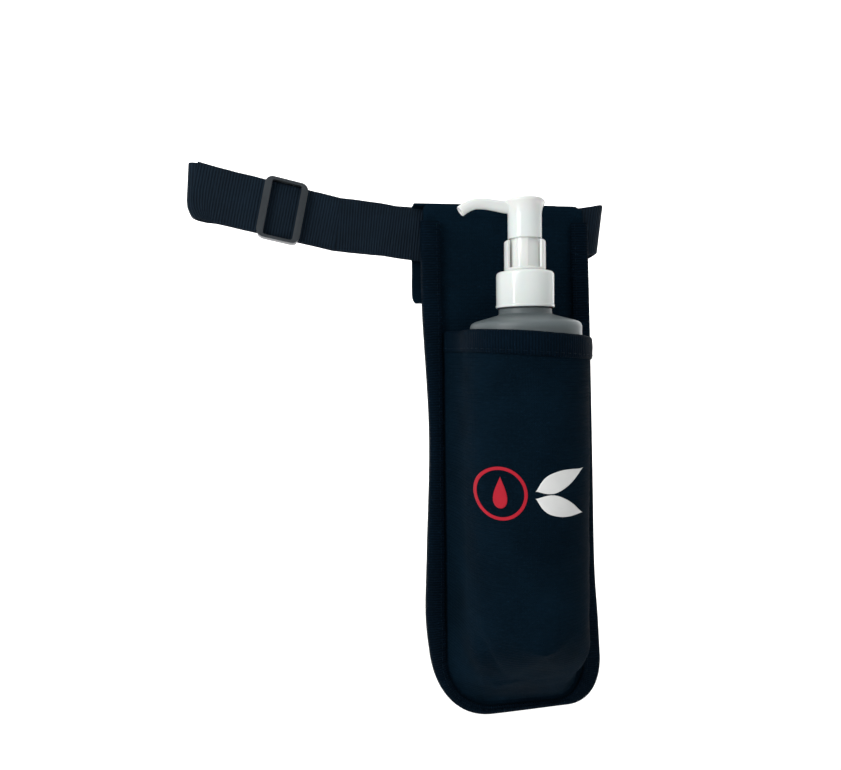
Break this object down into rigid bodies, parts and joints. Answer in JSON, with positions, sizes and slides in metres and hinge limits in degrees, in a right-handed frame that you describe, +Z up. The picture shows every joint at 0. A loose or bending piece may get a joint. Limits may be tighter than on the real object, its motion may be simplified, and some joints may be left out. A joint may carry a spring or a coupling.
{
  "type": "holstered lotion pump bottle",
  "caption": "Slim lotion bottle with a long-spout pump, standing in a bound cloth belt holster with folded webbing waist belt and sliding adjuster.",
  "frame": {"origin": "middle of the back panel's flat rear face, 60 mm above the bottle's base", "axes": "+X to the wearer's left across the holster as seen from the front, +Y out of the rear face towards the hip, +Z up along the bottle's axis"},
  "size_m": [0.2061, 0.0787, 0.2691],
  "materials": {
    "holster_cloth": "fine plain-weave nylon with a dull sheen, black with a blue cast",
    "binding_tape": "ribbed grosgrain binding tape",
    "webbing": "ribbed polypropylene webbing",
    "elastic": "knitted black elastic",
    "slider_plastic": "moulded acetal, satin",
    "frosted_bottle": "natural translucent polyethylene",
    "white_plastic": "glossy moulded polypropylene",
    "natural_plastic": "natural translucent polypropylene",
    "gasket_foam": "foamed polyethylene liner",
    "valve_steel": "stainless steel wire and ball"
  },
  "bodies": {
    "holster": {"back_panel": "holster_cloth", "pocket_panel": "holster_cloth", "pocket_hem_binding": "binding_tape", "edge_binding": "binding_tape", "belt_sleeve_flap": "holster_cloth", "belt_webbing": "webbing", "hank_keeper": "elastic"},
    "slider": {"triglide_slider": "slider_plastic", "strap_end_loop": "webbing"},
    "bottle": {"bottle": "frosted_bottle"},
    "pump_body": {"pump_housing": "natural_plastic", "neck_gasket": "gasket_foam", "dip_tube": "natural_plastic", "stem_guide": "white_plastic", "stroke_guard": "white_plastic", "return_spring": "valve_steel"},
    "closure": {"closure_cap": "white_plastic"},
    "plunger": {"pump_stem": "white_plastic", "pump_piston": "natural_plastic"},
    "head": {"pump_head": "white_plastic"},
    "inlet_valve": {"inlet_ball": "valve_steel"}
  },
  "joints": [
    {"name": "slider_travel", "type": "slide", "parent": "holster", "child": "slider", "axis": [0.976, 0.0683, -0.2069], "range_m": [-0.011, 0.012]},
    {"name": "bottle_lift", "type": "slide", "parent": "holster", "child": "bottle", "axis": [0, 0, 1], "range_m": [0, 0.15]},
    {"name": "pump_lift", "type": "slide", "parent": "bottle", "child": "pump_body", "axis": [0, 0, 1], "range_m": [0, 0.00476]},
    {"name": "closure_turn", "type": "hinge", "parent": "pump_body", "child": "closure", "pos_m": [0, -0.0286, 0.09], "axis": [0, 0, 1], "range_deg": [0, 540]},
    {"name": "pump_stroke", "type": "slide", "parent": "pump_body", "child": "plunger", "axis": [0, 0, -1], "range_m": [0, 0.01], "stiffness_N_per_m": 600, "springref_m": -0.012, "deforming": ["return_spring"]},
    {"name": "head_swivel", "type": "hinge", "parent": "plunger", "child": "head", "pos_m": [0, -0.0286, 0.125], "axis": [0, 0, 1], "range_deg": [-35, 215]},
    {"name": "inlet_ball_lift", "type": "slide", "parent": "pump_body", "child": "inlet_valve", "axis": [0, 0, 1], "range_m": [0, 0.002]}
  ],
  "couplings": [
    {"joint": "closure_turn", "follows": "pump_lift", "rad_per_m": 1979}
  ]
}
